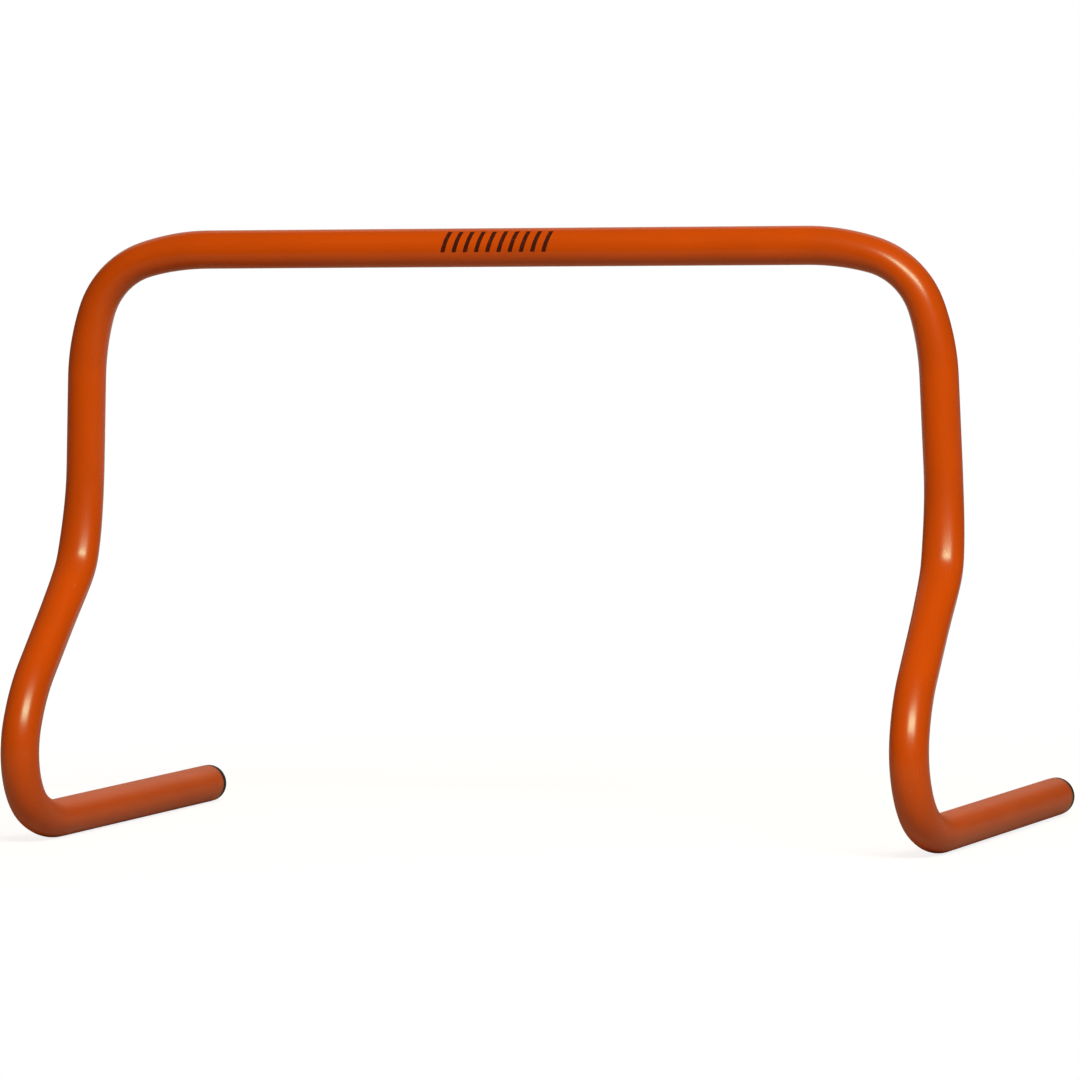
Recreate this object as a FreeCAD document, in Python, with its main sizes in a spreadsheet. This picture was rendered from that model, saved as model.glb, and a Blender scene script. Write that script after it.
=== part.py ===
import FreeCAD, Part
import enum
import math
import os
import Sketcher
from FreeCAD import Placement, Rotation, Vector

# A speed hurdle: one bent plastic tube that stands on its two feet, with a plug in each foot's open end.
# The floor is Z = 0, the crossbar runs along X, and the knees lean to the front, which is -Y.
# The origin lies on the floor under the middle of the whole hurdle.
# Lengths are in millimetres and angles in degrees.
SIZES = {
    # Tube
    "tube_diameter": 19.0,
    "tube_wall": 2.0,
    # Straight runs between the bends, along the tube's axis
    "bar_run": 309.6,
    "upper_leg_run": 42.7,
    "lower_leg_run": 53.3,
    "foot_run": 205.8,
    # How far the legs splay outwards, and how far they lean forward below the knee
    "leg_splay_angle": 2.0,
    "knee_angle": 46.5,
    # Bends, each a tight arc with a wider arc that leads into it and one that leads out of it.
    # The knee eases in from above and turns tightest low down.
    "corner_radius": 40.0,
    "corner_lead_radius": 120.0,
    "corner_lead_angle": 16.0,
    "corner_exit_angle": 16.0,
    "knee_radius": 30.0,
    "knee_lead_radius": 130.0,
    "knee_lead_angle": 20.0,
    "knee_exit_angle": 5.0,
    "toe_radius": 34.0,
    "toe_lead_radius": 72.0,
    "toe_lead_angle": 25.0,
    "toe_exit_angle": 25.0,
    # End plug: a round-edged head on a hollow shank with ribs that grip the bore
    "plug_head": 4.5,
    "plug_head_inset": 0.1,
    "plug_edge_radius": 1.0,
    "shank_length": 18.0,
    "shank_wall": 1.5,
    "rib_height": 0.8,
    "rib_length": 2.4,
    "rib_ramp": 1.4,
    "rib_pitch": 4.0,
    "rib_count": 4,
    "rib_clearance": 0.05,
}


class End(enum.IntEnum):
    """Sketcher's numbers for the points of a line, arc or circle."""

    START = 1
    FINISH = 2
    CENTRE = 3


# A sketch's own origin, as Sketcher numbers it
ORIGIN_POINT = (-1, End.START)

# How closely the tube's volume has to match its section times its length
VOLUME_TOLERANCE = 0.001

# Values that follow from the sizes, written for the document's expressions
TUBE_RADIUS = "sizes.tube_diameter / 2"
BORE_RADIUS = "(sizes.tube_diameter / 2 - sizes.tube_wall)"
HEAD_RADIUS = f"({TUBE_RADIUS} - sizes.plug_head_inset)"
RIB_RADIUS = f"({BORE_RADIUS} - sizes.rib_clearance)"
SHANK_RADIUS = f"({RIB_RADIUS} - sizes.rib_height)"
CORE_RADIUS = f"({SHANK_RADIUS} - sizes.shank_wall)"
SHANK_TIP = "(-sizes.shank_length)"

# Where the bends bring the tube, read from the two path sketches
CORNER_OUT = "(bar_path.Constraints.corner_out / 1 mm)"
CORNER_DROP = "(bar_path.Constraints.corner_drop / 1 mm)"
LEG_DROP = "(leg_path.Constraints.leg_drop / 1 mm)"
FOOT_END = "(leg_path.Constraints.foot_end / 1 mm)"
TOE_START = "(leg_path.Constraints.toe_start / 1 mm)"
FOOT_OUT = f"({CORNER_OUT} + {LEG_DROP} * sin(sizes.leg_splay_angle))"
FOOT_DROP = f"({CORNER_DROP} + {LEG_DROP} * cos(sizes.leg_splay_angle))"

# How far the toe swings on towards the front after its bend starts, to the tube's foremost point
TOE_LEAD = "min(sizes.toe_lead_angle; sizes.knee_angle)"
TOE_SWING = (
    f"(sizes.toe_lead_radius * (cos(sizes.knee_angle - {TOE_LEAD}) - cos(sizes.knee_angle))"
    f" + sizes.toe_radius * (1 - cos(sizes.knee_angle - {TOE_LEAD})))"
)
FRONT = f"({TOE_START} + {TOE_SWING} + {TUBE_RADIUS})"
BACK = f"({FOOT_END} + sizes.plug_head)"
CENTRING = f"(({FRONT} - {BACK}) / 2)"


def make_sheet(doc):
    """The driving dimensions, one row each, with the name as the cell's alias."""
    sheet = doc.addObject("Spreadsheet::Sheet", "sizes")
    for row, (name, value) in enumerate(SIZES.items(), start=1):
        sheet.set(f"A{row}", name)
        sheet.set(f"B{row}", str(value))
        sheet.setAlias(f"B{row}", name)
    doc.recompute()


def origin_feature(body, role):
    """One of the body's own origin planes or axes."""
    return next(feature for feature in body.Origin.OriginFeatures if feature.Role == role)


def new_sketch(body, name, plane):
    sketch = body.newObject("Sketcher::SketchObject", name)
    sketch.AttachmentSupport = (origin_feature(body, plane), [""])
    sketch.MapMode = "FlatFace"
    return sketch


def bind(sketch, name, expression, *constraint):
    """Add a dimension to a sketch, name it and tie it to the sheet."""
    index = sketch.addConstraint(Sketcher.Constraint(*constraint))
    sketch.renameConstraint(index, name)
    sketch.setExpression(f"Constraints.{name}", expression)


def measure(sketch, name, *constraint):
    """Add a dimension that reads a sketch and doesn't drive it."""
    index = sketch.addConstraint(Sketcher.Constraint(*constraint))
    sketch.renameConstraint(index, name)
    sketch.setDriving(index, False)


class TubePath:
    """The tube's axis in one sketch, from the sketch's origin: straight runs and bends in a smooth line."""

    def __init__(self, sketch, heading):
        self.sketch = sketch
        self.point = Vector(0, 0, 0)
        self.heading = heading
        self.open_end = None
        self.edges = 0

    def direction(self, angle):
        return Vector(math.cos(math.radians(angle)), math.sin(math.radians(angle)), 0)

    def add(self, geometry, first_end, last_end):
        index = self.sketch.addGeometry(geometry, False)
        if self.open_end is None:
            self.sketch.addConstraint(Sketcher.Constraint("Coincident", index, first_end, *ORIGIN_POINT))
        else:
            self.sketch.addConstraint(Sketcher.Constraint("Tangent", *self.open_end, index, first_end))
        self.open_end = (index, last_end)
        self.edges += 1
        return index

    def run(self, name, length, expression):
        """A straight run; gives the line's number."""
        target = self.point + self.direction(self.heading) * length
        index = self.add(Part.LineSegment(self.point, target), End.START, End.FINISH)
        bind(self.sketch, name, expression, "Distance", index, length)
        self.point = target
        return index

    def arc(self, name, radius, radius_expression, turn, turn_expression):
        """An arc that turns left by a positive turn and right by a negative one."""
        side = math.copysign(90, turn)
        centre = self.point + self.direction(self.heading + side) * radius
        first = math.radians(self.heading - side)
        last = math.radians(self.heading + turn - side)
        ends = (End.START, End.FINISH) if turn > 0 else (End.FINISH, End.START)
        circle = Part.Circle(centre, Vector(0, 0, 1), radius)
        index = self.add(Part.ArcOfCircle(circle, min(first, last), max(first, last)), *ends)
        bind(self.sketch, f"{name}_radius", radius_expression, "Radius", index, radius)
        bind(self.sketch, f"{name}_turn", turn_expression, "Angle", index, math.radians(abs(turn)))
        self.point = centre + self.direction(self.heading + turn - side) * radius
        self.heading += turn

    def bend(self, name, turn, turn_expression):
        """A tight arc between two wider ones, which lead into it and out of it."""
        wide = (SIZES[f"{name}_lead_radius"], f"sizes.{name}_lead_radius")
        tight = (SIZES[f"{name}_radius"], f"sizes.{name}_radius")
        turn_in = math.copysign(SIZES[f"{name}_lead_angle"], turn)
        turn_out = math.copysign(SIZES[f"{name}_exit_angle"], turn)
        tight_expression = f"{turn_expression} - sizes.{name}_lead_angle - sizes.{name}_exit_angle"
        self.arc(f"{name}_in", *wide, turn_in, f"sizes.{name}_lead_angle")
        self.arc(f"{name}_tight", *tight, turn - turn_in - turn_out, tight_expression)
        self.arc(f"{name}_out", *wide, turn_out, f"sizes.{name}_exit_angle")


def draw_bar_path(body):
    """Half of the crossbar and its corner bend, in the XZ plane; the bar's middle is the body's origin."""
    sketch = new_sketch(body, "bar_path", "XZ_Plane")
    path = TubePath(sketch, heading=0)
    bar = path.run("half_bar", SIZES["bar_run"] / 2, "sizes.bar_run / 2")
    sketch.addConstraint(Sketcher.Constraint("Horizontal", bar))
    path.bend("corner", SIZES["leg_splay_angle"] - 90, "90 - sizes.leg_splay_angle")
    measure(sketch, "corner_out", "DistanceX", *ORIGIN_POINT, *path.open_end, path.point.x)
    measure(sketch, "corner_drop", "DistanceY", *path.open_end, *ORIGIN_POINT, -path.point.y)
    return sketch, path


def draw_leg_path(body, corner):
    """The leg from its corner bend down to the foot's end, in the splayed plane that holds them."""
    sketch = new_sketch(body, "leg_path", "YZ_Plane")
    sketch.AttachmentOffset = Placement(Vector(0, corner.y, corner.x),
                                        Rotation(Vector(-1, 0, 0), SIZES["leg_splay_angle"]))
    sketch.setExpression("AttachmentOffset.Base.y", f"-{CORNER_DROP}")
    sketch.setExpression("AttachmentOffset.Base.z", CORNER_OUT)
    sketch.setExpression("AttachmentOffset.Rotation.Angle", "sizes.leg_splay_angle")

    path = TubePath(sketch, heading=-90)
    upper_leg = path.run("upper_leg", SIZES["upper_leg_run"], "sizes.upper_leg_run")
    sketch.addConstraint(Sketcher.Constraint("Vertical", upper_leg))
    path.bend("knee", -SIZES["knee_angle"], "sizes.knee_angle")
    lower_leg = path.run("lower_leg", SIZES["lower_leg_run"], "sizes.lower_leg_run")
    measure(sketch, "toe_start", "DistanceX", lower_leg, End.FINISH, *ORIGIN_POINT, -path.point.x)
    path.bend("toe", 90 + SIZES["knee_angle"], "90 + sizes.knee_angle")
    path.run("foot", SIZES["foot_run"], "sizes.foot_run")
    measure(sketch, "foot_end", "DistanceX", *ORIGIN_POINT, *path.open_end, path.point.x)
    measure(sketch, "leg_drop", "DistanceY", *path.open_end, *ORIGIN_POINT, -path.point.y)
    return sketch, path


def draw_section(body, name, plane):
    """The tube's ring, centred on the sketch's own origin."""
    sketch = new_sketch(body, name, plane)
    outer = SIZES["tube_diameter"] / 2
    inner = outer - SIZES["tube_wall"]
    for edge, radius, expression in (("outer", outer, TUBE_RADIUS), ("bore", inner, BORE_RADIUS)):
        circle = sketch.addGeometry(Part.Circle(Vector(0, 0, 0), Vector(0, 0, 1), radius), False)
        sketch.addConstraint(Sketcher.Constraint("Coincident", circle, End.CENTRE, *ORIGIN_POINT))
        bind(sketch, edge, expression, "Radius", circle, radius)
    return sketch


def sweep(body, name, section, path, edges):
    """Carry a section along every edge of a path."""
    pipe = body.newObject("PartDesign::AdditivePipe", name)
    pipe.Profile = section
    pipe.Spine = (path, [f"Edge{number}" for number in range(1, edges + 1)])
    return pipe


def make_tube(doc):
    """The whole bent tube: half of the crossbar and one leg, then their mirror image."""
    body = doc.addObject("PartDesign::Body", "hurdle_tube")
    body.Label = "hurdle_tube"

    bar_path, bar = draw_bar_path(body)
    bar_section = draw_section(body, "bar_section", "YZ_Plane")
    doc.recompute()
    bar_sweep = sweep(body, "bar_sweep", bar_section, bar_path, bar.edges)
    doc.recompute()

    leg_path, leg = draw_leg_path(body, corner=bar.point)
    foot_section = draw_section(body, "foot_section", "XZ_Plane")
    foot_section.setExpression("AttachmentOffset.Base.x", FOOT_OUT)
    foot_section.setExpression("AttachmentOffset.Base.y", f"-{FOOT_DROP}")
    foot_section.setExpression("AttachmentOffset.Base.z", f"-{FOOT_END}")
    doc.recompute()
    leg_sweep = sweep(body, "leg_sweep", foot_section, leg_path, leg.edges)
    doc.recompute()

    other_half = body.newObject("PartDesign::Mirrored", "other_half")
    other_half.Originals = [bar_sweep, leg_sweep]
    other_half.MirrorPlane = (origin_feature(body, "YZ_Plane"), [""])
    body.Tip = other_half
    body.setExpression("Placement.Base.y", CENTRING)
    body.setExpression("Placement.Base.z", f"{FOOT_DROP} + {TUBE_RADIUS}")
    return body


def draw_outline(sketch, corners):
    """A closed outline of straight edges; each corner is (name, x, y, x expression, y expression)."""
    points = [Vector(x, y, 0) for _, x, y, _, _ in corners]
    edges = []
    for first, last in zip(points, points[1:] + points[:1]):
        edges.append(sketch.addGeometry(Part.LineSegment(first, last), False))
    for edge, after in zip(edges, edges[1:] + edges[:1]):
        sketch.addConstraint(Sketcher.Constraint("Coincident", edge, End.FINISH, after, End.START))
    for edge, (name, x, y, x_expression, y_expression) in zip(edges, corners):
        bind(sketch, f"{name}_x", x_expression, "DistanceX", *ORIGIN_POINT, edge, End.START, x)
        bind(sketch, f"{name}_y", y_expression, "DistanceY", *ORIGIN_POINT, edge, End.START, y)


def revolve(body, name, sketch):
    """Turn an outline about the plug's axis, which is the sketch's vertical axis."""
    feature = body.newObject("PartDesign::Revolution", name)
    feature.Profile = sketch
    feature.ReferenceAxis = (sketch, ["V_Axis"])
    feature.Angle = 360
    return feature


def circle_edge(shape, radius, place):
    """The name of the round edge with this radius at this place along the plug's axis."""
    for number, edge in enumerate(shape.Edges, start=1):
        if not isinstance(edge.Curve, Part.Circle):
            continue
        if math.isclose(edge.Curve.Radius, radius) and math.isclose(edge.Curve.Center.y, place):
            return f"Edge{number}"
    raise RuntimeError("the plug's head has no rim")


def make_plug(doc, side, sign):
    """A push-in plug: Y = 0 is the tube's cut end, the head lies behind it and the shank in the bore."""
    body = doc.addObject("PartDesign::Body", f"{side}_end_plug")
    body.Label = f"{side}_end_plug"
    head = SIZES["plug_head"]
    head_radius = SIZES["tube_diameter"] / 2 - SIZES["plug_head_inset"]
    rib_radius = SIZES["tube_diameter"] / 2 - SIZES["tube_wall"] - SIZES["rib_clearance"]
    shank_radius = rib_radius - SIZES["rib_height"]
    core_radius = shank_radius - SIZES["shank_wall"]
    tip = -SIZES["shank_length"]

    outline = new_sketch(body, f"{side}_outline", "XY_Plane")
    draw_outline(outline, [
        ("head_middle", 0, head, "0", "sizes.plug_head"),
        ("head_rim", head_radius, head, HEAD_RADIUS, "sizes.plug_head"),
        ("head_seat", head_radius, 0, HEAD_RADIUS, "0"),
        ("shank_root", shank_radius, 0, SHANK_RADIUS, "0"),
        ("shank_tip", shank_radius, tip, SHANK_RADIUS, SHANK_TIP),
        ("core_mouth", core_radius, tip, CORE_RADIUS, SHANK_TIP),
        ("core_floor", core_radius, 0, CORE_RADIUS, "0"),
        ("core_middle", 0, 0, "0", "0"),
    ])
    turning = revolve(body, f"{side}_turning", outline)
    doc.recompute()

    rim = body.newObject("PartDesign::Fillet", f"{side}_rim")
    rim.Base = (turning, [circle_edge(turning.Shape, head_radius, head)])
    rim.setExpression("Radius", "sizes.plug_edge_radius")
    doc.recompute()

    rib_outline = new_sketch(body, f"{side}_rib_outline", "XY_Plane")
    draw_outline(rib_outline, [
        ("root_tip", core_radius, tip, CORE_RADIUS, SHANK_TIP),
        ("ramp_tip", shank_radius, tip, SHANK_RADIUS, SHANK_TIP),
        ("ramp_top", rib_radius, tip + SIZES["rib_ramp"], RIB_RADIUS, f"{SHANK_TIP} + sizes.rib_ramp"),
        ("land_end", rib_radius, tip + SIZES["rib_length"], RIB_RADIUS, f"{SHANK_TIP} + sizes.rib_length"),
        ("root_end", core_radius, tip + SIZES["rib_length"], CORE_RADIUS, f"{SHANK_TIP} + sizes.rib_length"),
    ])
    rib = revolve(body, f"{side}_rib", rib_outline)
    doc.recompute()

    ribs = body.newObject("PartDesign::LinearPattern", f"{side}_ribs")
    ribs.Originals = [rib]
    ribs.Direction = (origin_feature(body, "Y_Axis"), [""])
    ribs.Mode = "Spacing"
    ribs.setExpression("Offset", "sizes.rib_pitch")
    ribs.setExpression("Occurrences", "sizes.rib_count")
    body.Tip = ribs

    body.setExpression("Placement.Base.x", f"{sign} * {FOOT_OUT}")
    body.setExpression("Placement.Base.y", f"{FOOT_END} + {CENTRING}")
    body.setExpression("Placement.Base.z", TUBE_RADIUS)
    return body


def check(doc, bodies):
    """Every object is worked out, and every piece is one valid solid."""
    for item in doc.Objects:
        if "Invalid" in item.State or "Error" in item.State:
            raise RuntimeError(f"{item.Name} failed: {item.State}")
    for body in bodies:
        shape = body.Shape
        if shape.isNull() or not shape.isValid() or len(shape.Solids) != 1:
            raise RuntimeError(f"{body.Label} isn't one valid solid")


def check_tube(doc, tube):
    """The sweeps keep the ring's area all the way along the axis."""
    outer = SIZES["tube_diameter"] / 2
    bore = outer - SIZES["tube_wall"]
    axis_length = 2 * (doc.bar_path.Shape.Length + doc.leg_path.Shape.Length)
    expected = math.pi * (outer**2 - bore**2) * axis_length
    if not math.isclose(tube.Shape.Volume, expected, rel_tol=VOLUME_TOLERANCE):
        raise RuntimeError(f"the tube holds {tube.Shape.Volume}, not {expected}")


def main():
    doc = FreeCAD.newDocument("speed_hurdle")
    make_sheet(doc)
    tube = make_tube(doc)
    bodies = [tube, make_plug(doc, "left", -1), make_plug(doc, "right", 1)]
    doc.recompute()
    check(doc, bodies)
    check_tube(doc, tube)
    os.makedirs("parts", exist_ok=True)
    for body in bodies:
        body.Shape.exportStep(f"parts/{body.Label}.step")


main()
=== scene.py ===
"""A speed hurdle for agility training: a bent tube, two end plugs and a printed bar, on a plain stage."""

import math
from dataclasses import dataclass

import bmesh
import bpy
from bpy.props import FloatProperty, FloatVectorProperty, IntProperty, PointerProperty
from mathutils import Matrix, Quaternion, Vector


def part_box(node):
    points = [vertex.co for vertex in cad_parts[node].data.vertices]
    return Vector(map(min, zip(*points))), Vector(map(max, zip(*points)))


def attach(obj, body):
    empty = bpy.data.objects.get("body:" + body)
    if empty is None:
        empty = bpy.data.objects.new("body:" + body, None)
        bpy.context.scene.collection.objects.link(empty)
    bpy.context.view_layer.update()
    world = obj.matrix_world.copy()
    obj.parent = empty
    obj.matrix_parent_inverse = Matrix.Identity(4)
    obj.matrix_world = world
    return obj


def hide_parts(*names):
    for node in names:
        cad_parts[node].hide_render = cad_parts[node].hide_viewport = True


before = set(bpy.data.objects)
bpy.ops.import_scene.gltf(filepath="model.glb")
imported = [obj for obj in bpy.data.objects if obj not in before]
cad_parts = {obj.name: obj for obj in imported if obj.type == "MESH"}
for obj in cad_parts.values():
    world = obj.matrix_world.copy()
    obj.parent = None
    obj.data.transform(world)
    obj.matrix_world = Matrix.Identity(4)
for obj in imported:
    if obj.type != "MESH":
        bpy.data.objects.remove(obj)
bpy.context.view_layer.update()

bl_info = {
    "name": "Speed Hurdle",
    "version": (1, 0, 0),
    "blender": (4, 5, 0),
    "location": "View3D > Sidebar > Hurdle",
    "description": "Bends the tube of a speed hurdle, plugs and prints it, and sets it on a plain stage",
    "category": "Object",
}

MM = 0.001
X_AXIS = Vector((1, 0, 0))
Y_AXIS = Vector((0, 1, 0))
Z_AXIS = Vector((0, 0, 1))
TUBE_LOW, TUBE_HIGH = (Vector(corner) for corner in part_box("hurdle_tube"))

# Names that the materials read from the tube's mesh
STRAIGHT_PLACE = "straight_place"
BEND_HEAT = "bend_heat"

# Sockets of a Mix node that mixes colours
MIX_SHARE = 0
MIX_UNDER = 6
MIX_OVER = 7
MIXED = 2

# Fineness of the meshes
ROUND_SIDES = 64
SMOOTH_ANGLE = math.radians(35)
TOUCH = 0.01 * MM


def linear(code):
    """The linear colour of an sRGB hex value."""
    parts = [int(code[i:i + 2], 16) / 255 for i in (0, 2, 4)]
    return tuple(c / 12.92 if c <= 0.04045 else ((c + 0.055) / 1.055) ** 2.4 for c in parts)


# Settings that a user would change


class TubeSettings(bpy.types.PropertyGroup):
    """Sizes and colours of the bent tube."""

    diameter: FloatProperty(name="Diameter", description="Outside diameter", default=19 * MM, unit="LENGTH")
    wall: FloatProperty(name="Wall", description="Thickness of the wall", default=2 * MM, unit="LENGTH")
    bar: FloatProperty(name="Bar", description="Straight run of the bar", default=309.6 * MM, unit="LENGTH")
    thigh: FloatProperty(
        name="Upper leg", description="Straight run above the knee", default=42.7 * MM, unit="LENGTH")
    shin: FloatProperty(
        name="Lower leg", description="Straight run below the knee", default=53.3 * MM, unit="LENGTH")
    foot: FloatProperty(
        name="Foot", description="Straight run on the floor", default=205.8 * MM, unit="LENGTH")
    splay: FloatProperty(
        name="Splay", description="Lean of the legs away from each other", default=math.radians(2),
        unit="ROTATION")
    knee: FloatProperty(
        name="Knee", description="Turn of the knee to the front", default=math.radians(46.5),
        unit="ROTATION")
    corner_radius: FloatProperty(
        name="Corner radius", description="Tight part of the corner", default=40 * MM, unit="LENGTH")
    corner_lead_radius: FloatProperty(
        name="Corner lead radius", description="Easy parts of the corner", default=120 * MM, unit="LENGTH")
    corner_lead: FloatProperty(
        name="Corner lead", description="Turn of each easy part", default=math.radians(16), unit="ROTATION")
    knee_radius: FloatProperty(
        name="Knee radius", description="Tight part of the knee", default=30 * MM, unit="LENGTH")
    knee_lead_radius: FloatProperty(
        name="Knee lead radius", description="Easy parts of the knee", default=130 * MM, unit="LENGTH")
    knee_lead: FloatProperty(
        name="Knee lead", description="Turn of the easy part above", default=math.radians(20),
        unit="ROTATION")
    knee_exit: FloatProperty(
        name="Knee exit", description="Turn of the easy part below", default=math.radians(5),
        unit="ROTATION")
    toe_radius: FloatProperty(
        name="Toe radius", description="Tight part of the toe", default=34 * MM, unit="LENGTH")
    toe_lead_radius: FloatProperty(
        name="Toe lead radius", description="Easy parts of the toe", default=72 * MM, unit="LENGTH")
    toe_lead: FloatProperty(
        name="Toe lead", description="Turn of each easy part", default=math.radians(25), unit="ROTATION")
    corner_squash: FloatProperty(
        name="Corner squash", description="How far the corner is flattened by bending", default=0.09,
        subtype="FACTOR")
    knee_squash: FloatProperty(
        name="Knee squash", description="How far the knee is flattened by bending", default=0.1,
        subtype="FACTOR")
    knee_squash_reach: FloatProperty(
        name="Knee squash reach", description="How far along the tube the knee's squash goes, each way",
        default=44 * MM, unit="LENGTH")
    knee_squash_drop: FloatProperty(
        name="Knee squash drop", description="How far below the knee's middle its squash is greatest",
        default=15 * MM, unit="LENGTH")
    rim_chamfer: FloatProperty(
        name="Rim", description="Edge taken off the sawn ends", default=0.3 * MM, unit="LENGTH")
    colour: FloatVectorProperty(
        name="Colour", description="Orange of the tube", default=linear("CF4E00"), subtype="COLOR", size=3)
    gloss_colour: FloatVectorProperty(
        name="Gloss colour", description="Tint of the gloss", default=linear("D5FFDC"), subtype="COLOR",
        size=3)
    heat_colour: FloatVectorProperty(
        name="Heated colour", description="Orange where bending heated it", default=linear("BE4704"),
        subtype="COLOR", size=3)
    # This colour paints the chalky film on the feet and also a pale painted sheen on top of them
    film_and_sheen_colour: FloatVectorProperty(
        name="Film colour", description="Chalky film on the feet", default=linear("E6A884"),
        subtype="COLOR", size=3)
    rub_colour: FloatVectorProperty(
        name="Rubbed colour", description="Fine rubs low on the tube", default=linear("E8A077"),
        subtype="COLOR", size=3)
    speck_colour: FloatVectorProperty(
        name="Speck colour", description="Specks of pigment", default=linear("6E2409"), subtype="COLOR",
        size=3)


class PlugSettings(bpy.types.PropertyGroup):
    """Sizes and colours of the push-in plugs."""

    head: FloatProperty(name="Head", description="Thickness of the head", default=4.5 * MM, unit="LENGTH")
    head_radius: FloatProperty(
        name="Head radius", description="Outside radius of the head", default=9.4 * MM, unit="LENGTH")
    edge: FloatProperty(
        name="Edge", description="Rounding of the head's edge", default=1 * MM, unit="LENGTH")
    gate: FloatProperty(
        name="Gate", description="Radius of the moulding mark", default=1.4 * MM, unit="LENGTH")
    gate_floor: FloatProperty(
        name="Gate floor", description="Radius of the mark's floor", default=0.98 * MM, unit="LENGTH")
    gate_depth: FloatProperty(
        name="Gate depth", description="Depth of the moulding mark", default=0.35 * MM, unit="LENGTH")
    shank: FloatProperty(name="Shank", description="Length inside the tube", default=18 * MM, unit="LENGTH")
    shank_radius: FloatProperty(
        name="Shank radius", description="Outside radius between ribs", default=6.65 * MM, unit="LENGTH")
    core_radius: FloatProperty(
        name="Core radius", description="Radius of the hollow core", default=5.15 * MM, unit="LENGTH")
    rib_radius: FloatProperty(
        name="Rib radius", description="Outside radius of the ribs", default=7.45 * MM, unit="LENGTH")
    rib_pitch: FloatProperty(
        name="Rib pitch", description="Spacing of the ribs", default=4 * MM, unit="LENGTH")
    rib_ramp: FloatProperty(
        name="Rib ramp", description="Length of a rib's ramp", default=1.4 * MM, unit="LENGTH")
    rib_length: FloatProperty(
        name="Rib length", description="Length of a rib", default=2.4 * MM, unit="LENGTH")
    ribs: IntProperty(name="Ribs", description="Number of ribs", default=4, min=1)
    colour: FloatVectorProperty(
        name="Colour", description="Black of the plugs", default=linear("1B1A19"), subtype="COLOR", size=3)
    scuff_colour: FloatVectorProperty(
        name="Scuffed colour", description="Marks of handling", default=linear("34322F"), subtype="COLOR",
        size=3)


class PrintSettings(bpy.types.PropertyGroup):
    """Sizes and colours of the row of printed dashes on the bar."""

    dashes: IntProperty(name="Dashes", description="Number of dashes", default=10, min=1)
    pitch: FloatProperty(name="Pitch", description="Spacing of the dashes", default=5.8 * MM, unit="LENGTH")
    width: FloatProperty(name="Width", description="Width of a dash", default=2.2 * MM, unit="LENGTH")
    slant: FloatProperty(
        name="Slant", description="How far a dash leans to the right", default=3 * MM, unit="LENGTH")
    low: FloatProperty(
        name="Lower edge", description="Angle of the lower edge above level", default=math.radians(-12),
        unit="ROTATION")
    high: FloatProperty(
        name="Upper edge", description="Angle of the upper edge above level", default=math.radians(57),
        unit="ROTATION")
    middle: FloatProperty(
        name="Middle", description="Place of the row along the bar", default=-1 * MM, unit="LENGTH")
    film: FloatProperty(
        name="Film", description="Height of the ink's face above the bar", default=0.05 * MM, unit="LENGTH")
    ink: FloatProperty(name="Ink", description="Thickness of the ink", default=0.04 * MM, unit="LENGTH")
    colour: FloatVectorProperty(
        name="Colour", description="Colour of the ink", default=linear("3F150A"), subtype="COLOR", size=3)
    thin_colour: FloatVectorProperty(
        name="Thin colour", description="Ink that the bar shows through", default=linear("A03A0C"),
        subtype="COLOR", size=3)


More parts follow.
